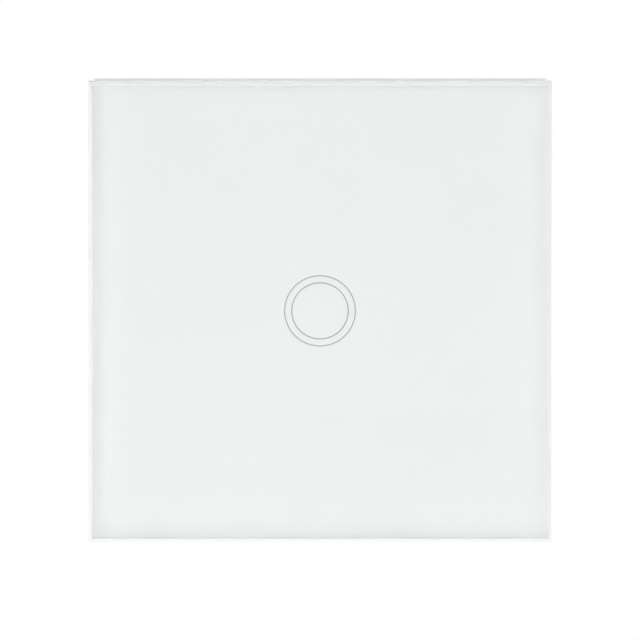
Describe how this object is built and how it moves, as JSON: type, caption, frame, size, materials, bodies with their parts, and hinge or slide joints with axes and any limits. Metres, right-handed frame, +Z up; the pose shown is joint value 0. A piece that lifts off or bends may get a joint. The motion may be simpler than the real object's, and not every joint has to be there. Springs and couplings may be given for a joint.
{
  "type": "touch light switch",
  "caption": "Square one-gang touch light switch: a white glass panel with two thin rings that pulls off a steel wall bracket and a boxed sensor, relay and terminal module.",
  "frame": {"origin": "middle of the wall box, on the wall plane, which is the rear face of the mounting bracket", "axes": "-Y out of the wall through the glass front, +Y into the wall box, +Z up, +X to the right as seen from the front"},
  "size_m": [0.08, 0.0325, 0.08],
  "materials": {
    "panel_glass": "clear toughened glass, ground edges",
    "white_enamel": "white enamel fired on the back of the glass",
    "grey_ink": "grey ink printed on the back of the glass",
    "foam_tape": "foam tape",
    "white_plastic": "moulded white plastic, fine texture",
    "dark_plastic": "moulded dark plastic, spark texture",
    "relay_plastic": "blue moulded plastic",
    "terminal_plastic": "green moulded plastic",
    "nylon": "natural nylon",
    "clear_plastic": "clear acrylic",
    "led_white": "white lamp body",
    "zinc_steel": "zinc-plated pressed steel",
    "screw_steel": "zinc-plated screws",
    "spring_steel": "tinned spring wire",
    "tin": "tinned leads",
    "brass": "brass",
    "copper": "copper",
    "board_green": "circuit board with solder mask",
    "chip_black": "moulded chip body",
    "chip_tan": "chip resistors and capacitors",
    "ferrite": "ferrite",
    "capacitor_yellow": "film capacitor case",
    "capacitor_black": "capacitor sleeve",
    "varistor_blue": "varistor coating"
  },
  "bodies": {
    "module": {"mounting_bracket": "zinc_steel", "module_screws": "screw_steel", "rear_housing": "dark_plastic", "sensor_cover": "white_plastic", "touch_spring": "spring_steel", "indicator_led": "led_white", "light_pipe": "clear_plastic", "sensor_board": "board_green", "touch_chip": "chip_black", "sensor_board_parts": "chip_tan", "header_strip": "chip_black", "header_pins": "tin", "board_spacers": "nylon", "power_board": "board_green", "power_board_parts": "chip_tan", "relay_base": "relay_plastic", "relay_cover": "relay_plastic", "relay_yoke": "zinc_steel", "relay_core": "zinc_steel", "relay_bobbin": "nylon", "relay_coil": "copper", "relay_coil_pins": "tin", "relay_open_contact": "brass", "relay_rest_contact": "brass", "film_capacitor": "capacitor_yellow", "main_electrolytic": "capacitor_black", "small_electrolytic": "capacitor_black", "varistor": "varistor_blue", "fuse": "chip_black", "inductor_core": "ferrite", "inductor_winding": "copper", "bridge_rectifier": "chip_black", "terminal_block": "terminal_plastic", "terminal_bars": "brass"},
    "front_panel": {"glass_panel": "panel_glass", "back_print": "white_enamel", "ring_print": "grey_ink", "adhesive_frame": "foam_tape", "panel_carrier": "white_plastic"},
    "armature": {"relay_armature": "zinc_steel", "relay_contact_blade": "copper"},
    "screw_1": {"terminal_screw_1": "screw_steel"},
    "screw_2": {"terminal_screw_2": "screw_steel"},
    "screw_3": {"terminal_screw_3": "screw_steel"},
    "clamp_1": {"terminal_clamp_1": "zinc_steel"},
    "clamp_2": {"terminal_clamp_2": "zinc_steel"},
    "clamp_3": {"terminal_clamp_3": "zinc_steel"}
  },
  "joints": [
    {"name": "panel_pull_off", "type": "slide", "parent": "module", "child": "front_panel", "axis": [0, -1, 0], "range_m": [0, 0.03]},
    {"name": "relay_armature_tilt", "type": "hinge", "parent": "module", "child": "armature", "pos_m": [-0.0166, 0.016, 0.0117], "axis": [0, 0, -1], "range_deg": [0, 2.5], "stiffness_Nm_per_rad": 0.002, "springref_deg": -17.19},
    {"name": "terminal_screw_1_turn", "type": "hinge", "parent": "module", "child": "screw_1", "pos_m": [-0.0075, 0.0165, -0.0161], "axis": [0, -1, 0], "range_deg": [0, 1620]},
    {"name": "terminal_screw_2_turn", "type": "hinge", "parent": "module", "child": "screw_2", "pos_m": [0, 0.0165, -0.0161], "axis": [0, -1, 0], "range_deg": [0, 1620]},
    {"name": "terminal_screw_3_turn", "type": "hinge", "parent": "module", "child": "screw_3", "pos_m": [0.0075, 0.0165, -0.0161], "axis": [0, -1, 0], "range_deg": [0, 1620]},
    {"name": "terminal_clamp_1_rise", "type": "slide", "parent": "module", "child": "clamp_1", "axis": [0, 1, 0], "range_m": [0, 0.00225]},
    {"name": "terminal_clamp_2_rise", "type": "slide", "parent": "module", "child": "clamp_2", "axis": [0, 1, 0], "range_m": [0, 0.00225]},
    {"name": "terminal_clamp_3_rise", "type": "slide", "parent": "module", "child": "clamp_3", "axis": [0, 1, 0], "range_m": [0, 0.00225]}
  ],
  "couplings": [
    {"joint": "terminal_screw_1_turn", "follows": "terminal_clamp_1_rise", "rad_per_m": 12566},
    {"joint": "terminal_screw_2_turn", "follows": "terminal_clamp_2_rise", "rad_per_m": 12566},
    {"joint": "terminal_screw_3_turn", "follows": "terminal_clamp_3_rise", "rad_per_m": 12566}
  ]
}
